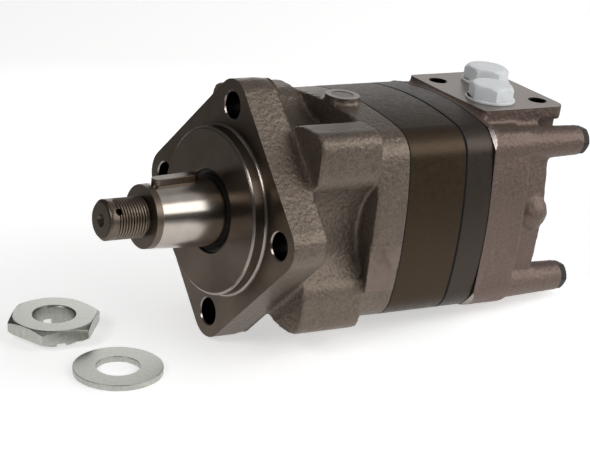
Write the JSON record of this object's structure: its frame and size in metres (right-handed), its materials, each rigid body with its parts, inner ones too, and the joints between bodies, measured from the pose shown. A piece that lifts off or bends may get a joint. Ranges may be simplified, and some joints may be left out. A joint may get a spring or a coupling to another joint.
{
  "type": "orbital hydraulic motor",
  "caption": "Cast orbital motor with a round pilot and diamond flange, a keyed tapered shaft, a roller gear set and a port plate on top; its slotted nut and washer lie loose.",
  "frame": {"origin": "on the shaft axis, in the plane of the flange's mounting face", "axes": "+X along the shaft axis away from the shaft end, towards the ports; +Z towards the port face"},
  "size_m": [0.2761, 0.1324, 0.1429],
  "materials": {
    "cast_iron_housing": "cast, thin clear coat",
    "cast_iron_ring": "machined, dark coat",
    "cast_iron_channel": "machined, dark coat",
    "cast_iron_port": "cast, thin clear coat",
    "ground_steel": "ground",
    "dark_steel": "hardened",
    "bearing_steel": "polished",
    "bronze_cage": "pressed",
    "zinc_steel": "zinc plated",
    "black_steel": "black oxide",
    "spring_steel": "oil tempered",
    "seal_rubber": "matt",
    "white_plastic": "translucent white"
  },
  "bodies": {
    "housing": {"shaft_housing": "cast_iron_housing", "dust_seal": "seal_rubber", "shaft_seal": "seal_rubber", "front_bearing_cup": "bearing_steel", "thrust_washer": "bearing_steel", "rear_bearing_cup": "bearing_steel", "wear_plate": "dark_steel", "gear_ring": "cast_iron_ring", "channel_plate": "cast_iron_channel", "balance_plate": "dark_steel", "balance_seal": "seal_rubber", "balance_spring": "spring_steel", "port_housing": "cast_iron_port", "drain_plug": "zinc_steel", "seam_seal_front": "seal_rubber", "seam_seal_middle": "seal_rubber", "seam_seal_rear": "seal_rubber", "corner_bolts": "black_steel"},
    "shaft": {"output_shaft": "ground_steel", "shaft_key": "dark_steel"},
    "front_cage": {"front_bearing_cage": "bronze_cage", "front_bearing_rollers": "bearing_steel"},
    "thrust_cage_set": {"thrust_cage": "bronze_cage", "thrust_rollers": "bearing_steel"},
    "rear_cage": {"rear_bearing_cage": "bronze_cage", "rear_bearing_rollers": "bearing_steel"},
    "spacer": {"drive_spacer": "dark_steel"},
    "star": {"star_gear": "ground_steel"},
    "main_link": {"drive_link": "dark_steel"},
    "valve_drive": {"valve_link": "dark_steel"},
    "valve": {"disc_valve": "ground_steel"},
    "front_plug": {"port_plug_front": "white_plastic"},
    "rear_plug": {"port_plug_rear": "white_plastic"},
    "nut": {"shaft_nut": "zinc_steel"},
    "washer": {"shaft_washer": "zinc_steel"},
    "roller_1": {"ring_roller_1": "bearing_steel"},
    "roller_2": {"ring_roller_2": "bearing_steel"},
    "roller_3": {"ring_roller_3": "bearing_steel"},
    "roller_4": {"ring_roller_4": "bearing_steel"},
    "roller_5": {"ring_roller_5": "bearing_steel"},
    "roller_6": {"ring_roller_6": "bearing_steel"},
    "roller_7": {"ring_roller_7": "bearing_steel"}
  },
  "joints": [
    {"name": "shaft_spin", "type": "hinge", "parent": "housing", "child": "shaft", "pos_m": [0, 0, 0], "axis": [1, 0, 0], "continuous": true},
    {"name": "front_cage_spin", "type": "hinge", "parent": "housing", "child": "front_cage", "pos_m": [0.02, 0, 0], "axis": [1, 0, 0], "continuous": true},
    {"name": "thrust_cage_spin", "type": "hinge", "parent": "housing", "child": "thrust_cage_set", "pos_m": [0.03, 0, 0], "axis": [1, 0, 0], "continuous": true},
    {"name": "rear_cage_spin", "type": "hinge", "parent": "housing", "child": "rear_cage", "pos_m": [0.055, 0, 0], "axis": [1, 0, 0], "continuous": true},
    {"name": "star_orbit", "type": "hinge", "parent": "housing", "child": "spacer", "pos_m": [0.074, 0, 0], "axis": [1, 0, 0], "continuous": true},
    {"name": "star_spin", "type": "hinge", "parent": "spacer", "child": "star", "pos_m": [0.074, 0, 0.0031], "axis": [1, 0, 0], "continuous": true},
    {"name": "drive_link_spin", "type": "hinge", "parent": "spacer", "child": "main_link", "pos_m": [0.046, 0, 0], "axis": [0.9968, 0, 0.0803], "continuous": true},
    {"name": "valve_link_spin", "type": "hinge", "parent": "spacer", "child": "valve_drive", "pos_m": [0.132, 0, 0], "axis": [0.9953, 0, -0.0964], "continuous": true},
    {"name": "disc_valve_spin", "type": "hinge", "parent": "housing", "child": "valve", "pos_m": [0.126, 0, 0], "axis": [1, 0, 0], "continuous": true},
    {"name": "front_plug_lift", "type": "slide", "parent": "housing", "child": "front_plug", "axis": [0, 0, 1], "range_m": [0, 0.03]},
    {"name": "rear_plug_lift", "type": "slide", "parent": "housing", "child": "rear_plug", "axis": [0, 0, 1], "range_m": [0, 0.03]},
    {"name": "nut_lift", "type": "slide", "parent": "housing", "child": "nut", "axis": [-0.1086, 0, 0.9941], "range_m": [0, 0.05]},
    {"name": "washer_lift", "type": "slide", "parent": "housing", "child": "washer", "axis": [-0.1086, 0, 0.9941], "range_m": [0, 0.03]},
    {"name": "roller_1_spin", "type": "hinge", "parent": "housing", "child": "roller_1", "pos_m": [0.0915, 0, 0.0345], "axis": [1, 0, 0], "continuous": true},
    {"name": "roller_2_spin", "type": "hinge", "parent": "housing", "child": "roller_2", "pos_m": [0.0915, -0.02697, 0.02151], "axis": [1, 0, 0], "continuous": true},
    {"name": "roller_3_spin", "type": "hinge", "parent": "housing", "child": "roller_3", "pos_m": [0.0915, -0.03364, -0.00768], "axis": [1, 0, 0], "continuous": true},
    {"name": "roller_4_spin", "type": "hinge", "parent": "housing", "child": "roller_4", "pos_m": [0.0915, -0.01497, -0.03108], "axis": [1, 0, 0], "continuous": true},
    {"name": "roller_5_spin", "type": "hinge", "parent": "housing", "child": "roller_5", "pos_m": [0.0915, 0.01497, -0.03108], "axis": [1, 0, 0], "continuous": true},
    {"name": "roller_6_spin", "type": "hinge", "parent": "housing", "child": "roller_6", "pos_m": [0.0915, 0.03364, -0.00768], "axis": [1, 0, 0], "continuous": true},
    {"name": "roller_7_spin", "type": "hinge", "parent": "housing", "child": "roller_7", "pos_m": [0.0915, 0.02697, 0.02151], "axis": [1, 0, 0], "continuous": true}
  ],
  "couplings": [
    {"joint": "front_cage_spin", "follows": "shaft_spin", "ratio": 0.4587},
    {"joint": "thrust_cage_spin", "follows": "shaft_spin", "ratio": 0.5},
    {"joint": "rear_cage_spin", "follows": "shaft_spin", "ratio": 0.4664},
    {"joint": "star_orbit", "follows": "shaft_spin", "ratio": -6},
    {"joint": "star_spin", "follows": "shaft_spin", "ratio": 7},
    {"joint": "drive_link_spin", "follows": "shaft_spin", "ratio": 7},
    {"joint": "valve_link_spin", "follows": "shaft_spin", "ratio": 7},
    {"joint": "disc_valve_spin", "follows": "shaft_spin", "ratio": 1}
  ]
}
